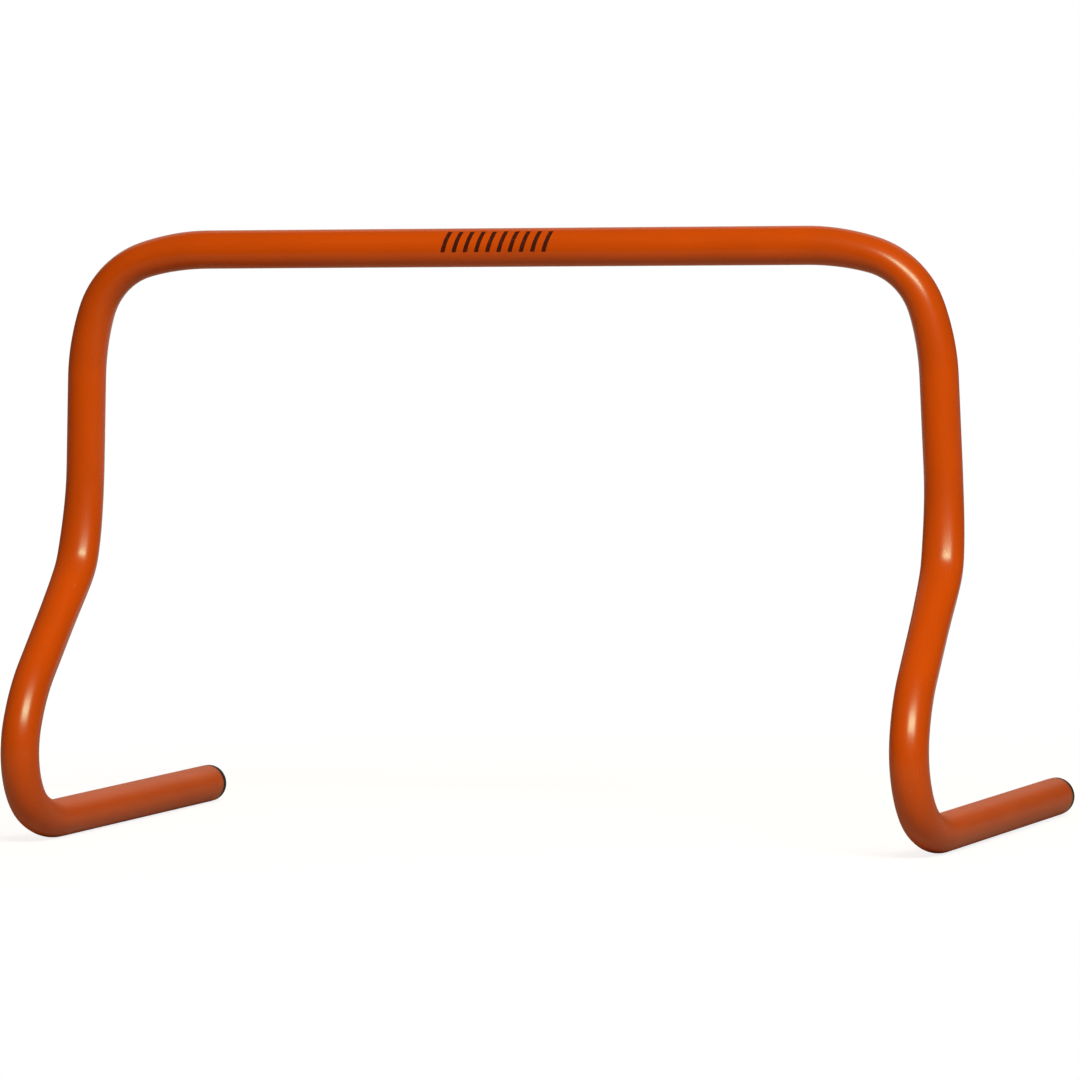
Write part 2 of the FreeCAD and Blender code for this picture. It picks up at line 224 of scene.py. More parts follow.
class StageSettings(bpy.types.PropertyGroup):
    """Camera, lamps and floor."""

    azimuth: FloatProperty(
        name="Azimuth", description="Turn of the camera round the object", default=math.radians(18.85),
        unit="ROTATION")
    elevation: FloatProperty(
        name="Elevation", description="Height of the camera above level", default=math.radians(3.05),
        unit="ROTATION")
    roll: FloatProperty(
        name="Roll", description="Tilt of the camera", default=math.radians(-0.74), unit="ROTATION")
    distance: FloatProperty(
        name="Distance", description="Distance from the camera to the aim", default=3957 * MM,
        unit="LENGTH")
    lens: FloatProperty(
        name="Lens", description="Focal length in millimetres", default=269.05, subtype="NONE")
    aim: FloatVectorProperty(
        name="Aim", description="Point that the camera's offset is measured from",
        default=(0, -45.53 * MM, 150 * MM), subtype="TRANSLATION", size=3)
    offset: FloatVectorProperty(
        name="Offset", description="Place of that point to the right of and above the picture's middle",
        default=(-15.95 * MM, 2.84 * MM), size=2, unit="LENGTH")
    key_place: FloatVectorProperty(
        name="Key place", description="Place of the main lamp", default=(1.39, -2.14, 2.15),
        subtype="TRANSLATION", size=3)
    key_size: FloatVectorProperty(
        name="Key size", description="Width and height of the main lamp", default=(2.0, 0.65), size=2,
        unit="LENGTH")
    key_tilt: FloatProperty(
        name="Key tilt", description="Turn of the main lamp about its own beam", default=math.radians(-12),
        unit="ROTATION")
    key_power: FloatProperty(
        name="Key power", description="Power of the main lamp", default=98, unit="POWER")
    lamp_colour: FloatVectorProperty(
        name="Lamp colour", description="Warmth of the lamps", default=linear("FFF9E9"), subtype="COLOR",
        size=3)
    panel_place: FloatVectorProperty(
        name="Panel place", description="Place of the dim panel behind", default=(-0.95, 2.79, 2.2),
        subtype="TRANSLATION", size=3)
    panel_size: FloatVectorProperty(
        name="Panel size", description="Width and height of the panel", default=(4, 2.6), size=2,
        unit="LENGTH")
    panel_power: FloatProperty(
        name="Panel power", description="Power of the panel", default=15, unit="POWER")
    fill_place: FloatVectorProperty(
        name="Fill place", description="Place of the low lamp that fills in the back",
        default=(-1.02, 2.98, 0.6), subtype="TRANSLATION", size=3)
    fill_size: FloatVectorProperty(
        name="Fill size", description="Width and height of the fill lamp", default=(2.4, 1.1), size=2,
        unit="LENGTH")
    fill_power: FloatProperty(
        name="Fill power", description="Power of the fill lamp", default=40, unit="POWER")
    room: FloatProperty(
        name="Room", description="Level of the room's own light", default=0.14, subtype="FACTOR")
    room_colour: FloatVectorProperty(
        name="Room colour", description="Warmth of the room's own light", default=linear("FFCB90"),
        subtype="COLOR", size=3)
    floor_colour: FloatVectorProperty(
        name="Floor", description="Colour of the floor as it lights the tube", default=linear("B4AB9A"),
        subtype="COLOR", size=3)
    paper_colour: FloatVectorProperty(
        name="Paper", description="Colour of the floor as it is seen", default=linear("F6F5F3"),
        subtype="COLOR", size=3)


# Modelling helpers


@dataclass
class Ring:
    """One ring of the tube: how far along it lies, its middle, and which way the tube goes there."""

    along: float
    centre: Vector
    heading: Vector


class TubeBender:
    """Draws a tube out of its selected first ring in edit mode, run by run and bend by bend."""

    RUN_STEP = 8 * MM
    BEND_STEP = 2.6 * MM

    def __init__(self, start, heading):
        self.rings = [Ring(0.0, start, heading)]

    @property
    def end(self):
        return self.rings[-1]

    def run(self, length):
        """Go straight on."""
        steps = max(1, round(length / self.RUN_STEP))
        step = self.end.heading * (length / steps)
        for _ in range(steps):
            bpy.ops.mesh.extrude_region_move(TRANSFORM_OT_translate={"value": step})
            self.rings.append(Ring(self.end.along + step.length, self.end.centre + step, self.end.heading))

    def arc(self, turn, radius, axis):
        """Go round one arc about the axis."""
        steps = max(2, round(turn * radius / self.BEND_STEP))
        centre = self.end.centre + axis.cross(self.end.heading) * radius
        bpy.ops.mesh.spin(steps=steps, angle=-turn, center=centre, axis=axis)
        step = Matrix.Rotation(turn / steps, 3, axis)
        for _ in range(steps):
            last = self.end
            place = centre + step @ (last.centre - centre)
            self.rings.append(Ring(last.along + radius * turn / steps, place, step @ last.heading))

    def bend(self, turn, radius, turn_in, turn_out, lead_radius, axis):
        """Go round a bend that eases in and out, and give the distance along at its ends."""
        start = self.end.along
        self.arc(turn_in, lead_radius, axis)
        self.arc(turn - turn_in - turn_out, radius, axis)
        self.arc(turn_out, lead_radius, axis)
        return start, self.end.along


def clear_selection():
    """Leave nothing selected, because an operator acts on all that is."""
    if bpy.context.object and bpy.context.object.mode != "OBJECT":
        bpy.ops.object.mode_set(mode="OBJECT")
    bpy.ops.object.select_all(action="DESELECT")


def open_piece(name):
    """Name the primitive just added, put its place into its mesh and open it with all selected."""
    piece = bpy.context.object
    piece.name = name
    piece.data.name = name
    bpy.ops.object.transform_apply(location=True, rotation=True, scale=True)
    bpy.ops.object.mode_set(mode="EDIT")
    bpy.ops.mesh.select_all(action="SELECT")
    return piece


def select_where(piece, test, kind="verts"):
    """In edit mode, select just the vertices or edges whose every vertex passes the test."""
    bpy.ops.mesh.select_all(action="DESELECT")
    mesh = bmesh.from_edit_mesh(piece.data)
    found = 0
    for item in getattr(mesh, kind):
        corners = [item] if kind == "verts" else item.verts
        if all(test(corner.co) for corner in corners):
            item.select_set(True)
            found += 1
    bmesh.update_edit_mesh(piece.data)
    if not found:
        raise RuntimeError(f"{piece.name}: nothing to select")


def modify(piece, kind, **settings):
    """Put a modifier on the piece and apply it."""
    bpy.context.view_layer.objects.active = piece
    made = piece.modifiers.new(kind.title(), kind)
    for name, value in settings.items():
        setattr(made, name, value)
    bpy.ops.object.modifier_apply(modifier=made.name)


def finish_piece(piece, material, slot, *nodes):
    """Give a piece its material and its body, and hide the solids that it stands for. The slot is not used.
    """
    piece.data.materials.clear()
    piece.data.materials.append(material)
    bpy.ops.object.shade_smooth_by_angle(angle=SMOOTH_ANGLE)
    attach(piece, "root")
    if nodes:
        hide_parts(*nodes)


def add_node(tree, kind, inputs=None, **settings):
    """Add a node with its settings, and fill its inputs from values or from other nodes' outputs."""
    made = tree.nodes.new(kind)
    for name, value in settings.items():
        setattr(made, name, value)
    for name, value in (inputs or {}).items():
        if isinstance(value, bpy.types.NodeSocket):
            tree.links.new(value, made.inputs[name])
        else:
            made.inputs[name].default_value = value
    return made


def new_material(name):
    """An empty node material and its output node."""
    material = bpy.data.materials.new(name)
    material.use_nodes = True
    material.node_tree.nodes.clear()
    return material, material.node_tree, add_node(material.node_tree, "ShaderNodeOutputMaterial")


# Materials


def extruded_pvc(look):
    """PVC tube, extruded, then heated and bent: even satin orange with faint die lines that run along it,
    duller and redder at the bends, with a chalky film on the feet, a painted sheen on top of them and a few
    fine rubs low down."""
    material, tree, output = new_material("extruded_orange_pvc")
    straight = add_node(tree, "ShaderNodeAttribute", attribute_name=STRAIGHT_PLACE).outputs["Vector"]
    heat = add_node(tree, "ShaderNodeAttribute", attribute_name=BEND_HEAT).outputs["Fac"]
    place = add_node(tree, "ShaderNodeTexCoord").outputs["Object"]
    sides = add_node(tree, "ShaderNodeSeparateXYZ", {0: place}).outputs
    height = sides["Z"]

    # Die lines along the tube
    line_width = 0.5 * MM
    line_length = 180 * MM
    lines_at = add_node(tree, "ShaderNodeMapping", {
        "Vector": straight, "Scale": (1 / line_width, 1 / line_width, 1 / line_length)}).outputs[0]
    lines = add_node(tree, "ShaderNodeTexNoise", {
        "Vector": lines_at, "Scale": 1.0, "Detail": 2.0, "Roughness": 0.6}).outputs[0]
    # Clouding of the pigment, drawn out along the tube
    cloud_width = 14 * MM
    cloud_length = 45 * MM
    clouds_at = add_node(tree, "ShaderNodeMapping", {
        "Vector": straight, "Scale": (1 / cloud_width, 1 / cloud_width, 1 / cloud_length)}).outputs[0]
    clouds = add_node(tree, "ShaderNodeTexNoise", {
        "Vector": clouds_at, "Scale": 1.0, "Detail": 3.0, "Roughness": 0.55}).outputs[0]
    # Skin of the cooled plastic
    skin_width = 1.6 * MM
    skin = add_node(tree, "ShaderNodeTexNoise", {
        "Vector": place, "Scale": 1 / skin_width, "Detail": 2.0, "Roughness": 0.5}).outputs[0]
    # Specks of pigment about 1 mm across, at most one in each cell of this size
    speck_cell = 15 * MM
    from_speck = add_node(tree, "ShaderNodeTexVoronoi", {
        "Vector": straight, "Scale": 1 / speck_cell}).outputs["Distance"]
    specks = add_node(tree, "ShaderNodeMapRange", {
        "Value": from_speck, "From Min": 0.035, "From Max": 0.02, "To Max": 0.5}).outputs[0]

    # Rubs: short slanting streaks, few, and only low down where shoes and the floor touch the tube
    rub_width = 0.5 * MM
    rub_length = 7 * MM
    rub_depth = 1.2 * MM
    rub_slant = (0.5, 0.3, 0.7)
    rub_share = 0.45
    streaks_at = add_node(tree, "ShaderNodeMapping", {
        "Vector": place, "Rotation": rub_slant,
        "Scale": (1 / rub_width, 1 / rub_length, 1 / rub_depth)}).outputs[0]
    streaks = add_node(tree, "ShaderNodeTexNoise", {
        "Vector": streaks_at, "Scale": 1.0, "Detail": 1.0}).outputs[0]
    few = add_node(tree, "ShaderNodeMapRange", {
        "Value": streaks, "From Min": 0.75, "From Max": 0.79}).outputs[0]
    low_down = add_node(tree, "ShaderNodeMapRange", {
        "Value": height, "From Min": 120 * MM, "From Max": 20 * MM},
        interpolation_type="SMOOTHSTEP").outputs[0]
    rubbed = add_node(tree, "ShaderNodeMath", {0: few, 1: low_down}, operation="MULTIPLY").outputs[0]
    rubs = add_node(tree, "ShaderNodeMath", {0: rubbed, 1: rub_share}, operation="MULTIPLY").outputs[0]

    # Chalky film: thin and patchy on the feet alone, with a painted sheen on top of them behind the toes
    film_share = 0.03
    top_sheen_share = 0.05
    on_feet = add_node(tree, "ShaderNodeMapRange", {
        "Value": height, "From Min": 42 * MM, "From Max": 12 * MM},
        interpolation_type="SMOOTHSTEP").outputs[0]
    patchy = add_node(tree, "ShaderNodeMapRange", {
        "Value": clouds, "From Min": 0.25, "From Max": 0.75, "To Max": film_share}).outputs[0]
    # Painted sheen: the tops of the feet lighter behind the toes
    painted_top_sheen = add_node(tree, "ShaderNodeMapRange", {
        "Value": height, "From Min": 8 * MM, "From Max": 18 * MM, "To Max": top_sheen_share},
        interpolation_type="SMOOTHSTEP").outputs[0]
    behind_toe = add_node(tree, "ShaderNodeMapRange", {
        "Value": sides["Y"], "From Min": -95 * MM, "From Max": -60 * MM},
        interpolation_type="SMOOTHSTEP").outputs[0]
    film_and_top_sheen = add_node(tree, "ShaderNodeMath", {
        0: painted_top_sheen, 1: behind_toe, 2: patchy}, operation="MULTIPLY_ADD").outputs[0]
    # The film's share holds both the chalky film and the painted sheen on top
    film = add_node(tree, "ShaderNodeMath", {0: on_feet, 1: film_and_top_sheen}, operation="MULTIPLY").outputs[0]

    # Colour: redder where heated, clouded, then film with its painted sheen, rubs and specks on top
    heat_share = 0.3
    heated = add_node(tree, "ShaderNodeMapRange", {"Value": heat, "To Max": heat_share}).outputs[0]
    body = add_node(tree, "ShaderNodeMix", {
        MIX_SHARE: heated, MIX_UNDER: (*look.colour, 1), MIX_OVER: (*look.heat_colour, 1)},
        data_type="RGBA").outputs[MIXED]
    tone = add_node(tree, "ShaderNodeMapRange", {
        "Value": clouds, "From Min": 0.25, "From Max": 0.75, "To Min": 0.94, "To Max": 1.06}).outputs[0]
    colour = add_node(tree, "ShaderNodeHueSaturation", {"Value": tone, "Color": body}).outputs[0]
    for share, over in ((film, look.film_and_sheen_colour), (rubs, look.rub_colour), (specks, look.speck_colour)):
        colour = add_node(tree, "ShaderNodeMix", {
            MIX_SHARE: share, MIX_UNDER: colour, MIX_OVER: (*over, 1)}, data_type="RGBA").outputs[MIXED]

    # Roughness: satin along the die lines, duller where heated, filmed or rubbed
    heat_dulls = 0.03
    film_dulls = 0.16
    rubs_dull = 0.25
    roughness = add_node(tree, "ShaderNodeMapRange", {
        "Value": lines, "From Min": 0.3, "From Max": 0.7, "To Min": 0.24, "To Max": 0.26}).outputs[0]
    for where, dulls in ((heat, heat_dulls), (on_feet, film_dulls), (rubbed, rubs_dull)):
        roughness = add_node(tree, "ShaderNodeMath", {
            0: where, 1: dulls, 2: roughness}, operation="MULTIPLY_ADD").outputs[0]

    skin_share = 0.6
    relief = add_node(tree, "ShaderNodeMath", {
        0: skin, 1: skin_share, 2: lines}, operation="MULTIPLY_ADD").outputs[0]
    bump = add_node(tree, "ShaderNodeBump", {
        "Height": relief, "Strength": 0.01, "Distance": 0.15 * MM}).outputs[0]
    shader = add_node(tree, "ShaderNodeBsdfPrincipled", {
        "Base Color": colour, "Roughness": roughness, "Normal": bump, "IOR": 1.53,
        "Specular IOR Level": 0.5, "Specular Tint": (*look.gloss_colour, 1)})
    tree.links.new(shader.outputs[0], output.inputs["Surface"])
    return material


def moulded_polyethylene(look):
    """Polyethylene, injection moulded in a spark-eroded tool: near-black and matt, with a fine even grain
    and paler marks of handling."""
    material, tree, output = new_material("moulded_black_polyethylene")
    place = add_node(tree, "ShaderNodeTexCoord").outputs["Object"]
    # Spark grain, drawn coarser than the real 0.1 mm so that it shows
    grain_width = 0.45 * MM
    grain = add_node(tree, "ShaderNodeTexNoise", {
        "Vector": place, "Scale": 1 / grain_width, "Detail": 2.0}).outputs[0]
    # Marks of handling
    mark_width = 5 * MM
    scuff_share = 0.35
    marks = add_node(tree, "ShaderNodeTexNoise", {
        "Vector": place, "Scale": 1 / mark_width, "Detail": 3.0}).outputs[0]
    scuffed = add_node(tree, "ShaderNodeMapRange", {
        "Value": marks, "From Min": 0.45, "From Max": 0.75, "To Max": scuff_share}).outputs[0]
    colour = add_node(tree, "ShaderNodeMix", {
        MIX_SHARE: scuffed, MIX_UNDER: (*look.colour, 1), MIX_OVER: (*look.scuff_colour, 1)},
        data_type="RGBA").outputs[MIXED]
    roughness = add_node(tree, "ShaderNodeMapRange", {
        "Value": marks, "From Min": 0.3, "From Max": 0.7, "To Min": 0.48, "To Max": 0.62}).outputs[0]
    bump = add_node(tree, "ShaderNodeBump", {
        "Height": grain, "Strength": 0.25, "Distance": 0.06 * MM}).outputs[0]
    shader = add_node(tree, "ShaderNodeBsdfPrincipled", {
        "Base Color": colour, "Roughness": roughness, "Normal": bump, "IOR": 1.51,
        "Specular IOR Level": 0.4})
    tree.links.new(shader.outputs[0], output.inputs["Surface"])
    return material


def pad_printed_ink(look):
    """Solvent ink, pad printed: a thin dark brown film, duller than the tube, with thin spots where the
    orange shows through."""
    material, tree, output = new_material("pad_printed_ink")
    place = add_node(tree, "ShaderNodeTexCoord").outputs["Object"]
    # Thin spots where the pad lifted
    spot_width = 1.2 * MM
    thin_share = 0.3
    thin = add_node(tree, "ShaderNodeTexNoise", {
        "Vector": place, "Scale": 1 / spot_width, "Detail": 3.0, "Roughness": 0.7}).outputs[0]
    shows = add_node(tree, "ShaderNodeMapRange", {
        "Value": thin, "From Min": 0.5, "From Max": 0.75, "To Max": thin_share}).outputs[0]
    colour = add_node(tree, "ShaderNodeMix", {
        MIX_SHARE: shows, MIX_UNDER: (*look.colour, 1), MIX_OVER: (*look.thin_colour, 1)},
        data_type="RGBA").outputs[MIXED]
    roughness = add_node(tree, "ShaderNodeMapRange", {
        "Value": thin, "From Min": 0.3, "From Max": 0.7, "To Min": 0.3, "To Max": 0.42}).outputs[0]
    bump = add_node(tree, "ShaderNodeBump", {
        "Height": thin, "Strength": 0.1, "Distance": 0.03 * MM}).outputs[0]
    shader = add_node(tree, "ShaderNodeBsdfPrincipled", {
        "Base Color": colour, "Roughness": roughness, "Normal": bump, "IOR": 1.48,
        "Specular IOR Level": 0.3})
    tree.links.new(shader.outputs[0], output.inputs["Surface"])
    return material


# Operators, one for each piece or group of like pieces


class HURDLE_OT_bend_tube(bpy.types.Operator):
    """Bend one length of tube into the bar, the legs and the feet"""

    bl_idname = "hurdle.bend_tube"
    bl_label = "Bend the tube"

    HEAT_REACH = 12 * MM
    RIM_STEPS = 2

    def squeeze(self, tube, number, ring, across, amount):
        """Flatten one ring towards the middle of its bend, and let it swell sideways by as much."""
        first = number * ROUND_SIDES
        bpy.ops.mesh.select_all(action="DESELECT")
        mesh = bmesh.from_edit_mesh(tube.data)
        mesh.verts.ensure_lookup_table()
        for index in range(first, first + ROUND_SIDES):
            mesh.verts[index].select_set(True)
        bmesh.update_edit_mesh(tube.data)
        inward = ring.heading.cross(across)
        bpy.ops.transform.resize(
            value=(1 + amount, 1 - amount, 1), orient_type="GLOBAL", center_override=ring.centre,
            orient_matrix=(across, inward, ring.heading), orient_matrix_type="GLOBAL")

    def squash_bend(self, tube, bender, middle, reach, across, amount):
        """Squash the rings of a bend, most at its middle and less and less up to its reach each way."""
        for number, ring in enumerate(bender.rings):
            off = abs(ring.along - middle) / reach
            if off < 1:
                self.squeeze(tube, number, ring, across, amount * math.cos(off * math.pi / 2) ** 2)

    def note_places(self, tube, bender, bends):
        """Keep on the mesh where each point lay on the straight tube and how far bending heated it."""
        tube.data.attributes.new(STRAIGHT_PLACE, "FLOAT_VECTOR", "POINT")
        tube.data.attributes.new(BEND_HEAT, "FLOAT", "POINT")
        straight = tube.data.attributes[STRAIGHT_PLACE]
        heat = tube.data.attributes[BEND_HEAT]
        radius = bpy.context.scene.hurdle_tube.diameter / 2
        for index in range(len(tube.data.vertices)):
            angle = math.tau * (index % ROUND_SIDES) / ROUND_SIDES
            along = bender.rings[index // ROUND_SIDES].along
            straight.data[index].vector = (radius * math.cos(angle), radius * math.sin(angle), along)
            inside = max(min(along - start, end - along) for start, end in bends)
            heat.data[index].value = min(max(inside / self.HEAT_REACH, 0), 1)

    def execute(self, context):
        size = context.scene.hurdle_tube
        radius = size.diameter / 2
        down = Matrix.Rotation(size.splay, 3, -Y_AXIS) @ -Z_AXIS
        side = down.cross(Y_AXIS)

        clear_selection()
        bpy.ops.mesh.primitive_circle_add(
            vertices=ROUND_SIDES, radius=radius, rotation=(0, math.pi / 2, 0))
        tube = open_piece("bent_tube")
        bender = TubeBender(Vector(), X_AXIS)
        bender.run(size.bar / 2)
        corner = bender.bend(
            math.pi / 2 - size.splay, size.corner_radius, size.corner_lead, size.corner_lead,
            size.corner_lead_radius, Y_AXIS)
        bender.run(size.thigh)
        knee = bender.bend(
            size.knee, size.knee_radius, size.knee_lead, size.knee_exit, size.knee_lead_radius, -side)
        bender.run(size.shin)
        toe = bender.bend(
            math.pi / 2 + size.knee, size.toe_radius, size.toe_lead, size.toe_lead,
            size.toe_lead_radius, side)
        bender.run(size.foot)

        corner_middle = sum(corner) / 2
        corner_reach = (corner[1] - corner[0]) / 2
        knee_middle = sum(knee) / 2 + size.knee_squash_drop
        self.squash_bend(tube, bender, corner_middle, corner_reach, Y_AXIS, size.corner_squash)
        self.squash_bend(tube, bender, knee_middle, size.knee_squash_reach, side, size.knee_squash)
        foot_end = Vector((bender.end.centre.x, TUBE_HIGH.y, radius))
        bpy.ops.mesh.select_all(action="SELECT")
        bpy.ops.transform.translate(value=foot_end - bender.end.centre)
        bpy.ops.mesh.normals_make_consistent(inside=False)
        bpy.ops.object.mode_set(mode="OBJECT")
        self.note_places(tube, bender, (corner, knee, toe))

        modify(
            tube, "MIRROR", use_axis=(True, False, False), use_mirror_merge=True, merge_threshold=TOUCH)
        for vertex, place in zip(tube.data.vertices, tube.data.attributes[STRAIGHT_PLACE].data):
            if vertex.co.x < 0:
                place.vector = (place.vector.x, place.vector.y, -place.vector.z)
        modify(tube, "SOLIDIFY", thickness=size.wall, offset=-1, use_even_offset=True)

        bpy.ops.object.mode_set(mode="EDIT")
        bpy.ops.mesh.select_mode(type="EDGE")
        mid_wall = radius - size.wall / 2
        select_where(tube, lambda at: at.y > foot_end.y - TOUCH
                     and math.hypot(abs(at.x) - foot_end.x, at.z - foot_end.z) > mid_wall, "edges")
        bpy.ops.mesh.bevel(offset=size.rim_chamfer, segments=self.RIM_STEPS)
        bpy.ops.mesh.select_mode(type="VERT")
        bpy.ops.object.mode_set(mode="OBJECT")
        finish_piece(tube, extruded_pvc(size), "orange_tube", "hurdle_tube")
        return {"FINISHED"}


class HURDLE_OT_fit_plugs(bpy.types.Operator):
    """Turn an end plug, and fit one in each foot"""

    bl_idname = "hurdle.fit_plugs"
    bl_label = "Fit the plugs"

    EDGE_STEPS = 6

    def outline(self, size):
        """Half the plug's section, from the middle of its head to the floor of its core."""
        head = size.head
        mark = head - size.gate_depth
        points = [(0, mark), (size.gate_floor, mark), (size.gate, head),
                  (size.head_radius, head), (size.head_radius, 0), (size.shank_radius, 0)]
        for number in reversed(range(size.ribs)):
            tip = number * size.rib_pitch - size.shank
            points.append((size.shank_radius, tip + size.rib_length))
            points.append((size.rib_radius, tip + size.rib_length))
            points.append((size.rib_radius, tip + size.rib_ramp))
            points.append((size.shank_radius, tip))
        points.append((size.core_radius, -size.shank))
        points.append((size.core_radius, 0))
        points.append((0, 0))
        return [Vector((radius, depth, 0)) for radius, depth in points]

    def turn_plug(self, size, name, place):
        """Draw half the section from one point and spin it about the foot's line."""
        points = self.outline(size)
        clear_selection()
        bpy.ops.mesh.primitive_plane_add(size=size.head, location=place + points[0])
        plug = open_piece(name)
        bpy.ops.mesh.merge(type="CENTER")
        for here, there in zip(points, points[1:]):
            bpy.ops.mesh.extrude_vertices_move(TRANSFORM_OT_translate={"value": there - here})
        bpy.ops.mesh.select_all(action="SELECT")
        bpy.ops.mesh.spin(steps=ROUND_SIDES, angle=math.tau, center=place, axis=Y_AXIS)
        bpy.ops.mesh.select_all(action="SELECT")
        bpy.ops.mesh.remove_doubles(threshold=TOUCH)
        bpy.ops.mesh.normals_make_consistent(inside=False)
        bpy.ops.mesh.select_mode(type="EDGE")
        rim = place.y + size.head - TOUCH
        rim_radius = size.head_radius - TOUCH
        select_where(plug, lambda at: at.y > rim
                     and math.hypot(at.x - place.x, at.z - place.z) > rim_radius, "edges")
        bpy.ops.mesh.bevel(offset=size.edge, segments=self.EDGE_STEPS)
        bpy.ops.mesh.select_mode(type="VERT")
        bpy.ops.object.mode_set(mode="OBJECT")
        return plug

    def execute(self, context):
        size = context.scene.hurdle_plug
        material = moulded_polyethylene(size)
        for side in ("left", "right"):
            node = f"{side}_end_plug"
            low, high = (Vector(corner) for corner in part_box(node))
            middle = (low + high) / 2
            plug = self.turn_plug(size, f"{side}_plug", Vector((middle.x, TUBE_HIGH.y, middle.z)))
            finish_piece(plug, material, "black_plug", node)
        return {"FINISHED"}


class HURDLE_OT_print_bar(bpy.types.Operator):
    """Print a row of slanted dashes on the front of the bar"""

    bl_idname = "hurdle.print_bar"
    bl_label = "Print the bar"

    DASH_COLUMNS = 3
    DASH_ROWS = 14

    def execute(self, context):
        size = context.scene.hurdle_print
        tube = bpy.data.objects["bent_tube"]
        radius = context.scene.hurdle_tube.diameter / 2
        bar_height = TUBE_HIGH.z - radius
        low = bar_height + radius * math.sin(size.low)
        high = bar_height + radius * math.sin(size.high)
        first = size.middle - (size.dashes - 1) * size.pitch / 2 - size.slant / 2
        front = TUBE_LOW.y

        clear_selection()
        bpy.ops.mesh.primitive_grid_add(
            x_subdivisions=self.DASH_COLUMNS, y_subdivisions=self.DASH_ROWS, size=1,
            location=(first, front, (low + high) / 2), rotation=(math.pi / 2, 0, 0))
        bpy.ops.transform.resize(value=(size.width, 1, high - low), orient_type="GLOBAL")
        dashes = open_piece("bar_dashes")
        for vertex in bmesh.from_edit_mesh(dashes.data).verts:
            vertex.co.x += size.slant * (vertex.co.z - low) / (high - low)
        bmesh.update_edit_mesh(dashes.data)
        bpy.ops.object.mode_set(mode="OBJECT")
        modify(dashes, "ARRAY", count=size.dashes, use_relative_offset=False, use_constant_offset=True,
               constant_offset_displace=(size.pitch, 0, 0))
        modify(dashes, "SHRINKWRAP", target=tube, wrap_method="PROJECT", use_project_y=True,
               use_positive_direction=True, use_negative_direction=False, offset=size.film)
        modify(dashes, "SOLIDIFY", thickness=size.ink, offset=-1)
        finish_piece(dashes, pad_printed_ink(size), "black_plug")
        return {"FINISHED"}


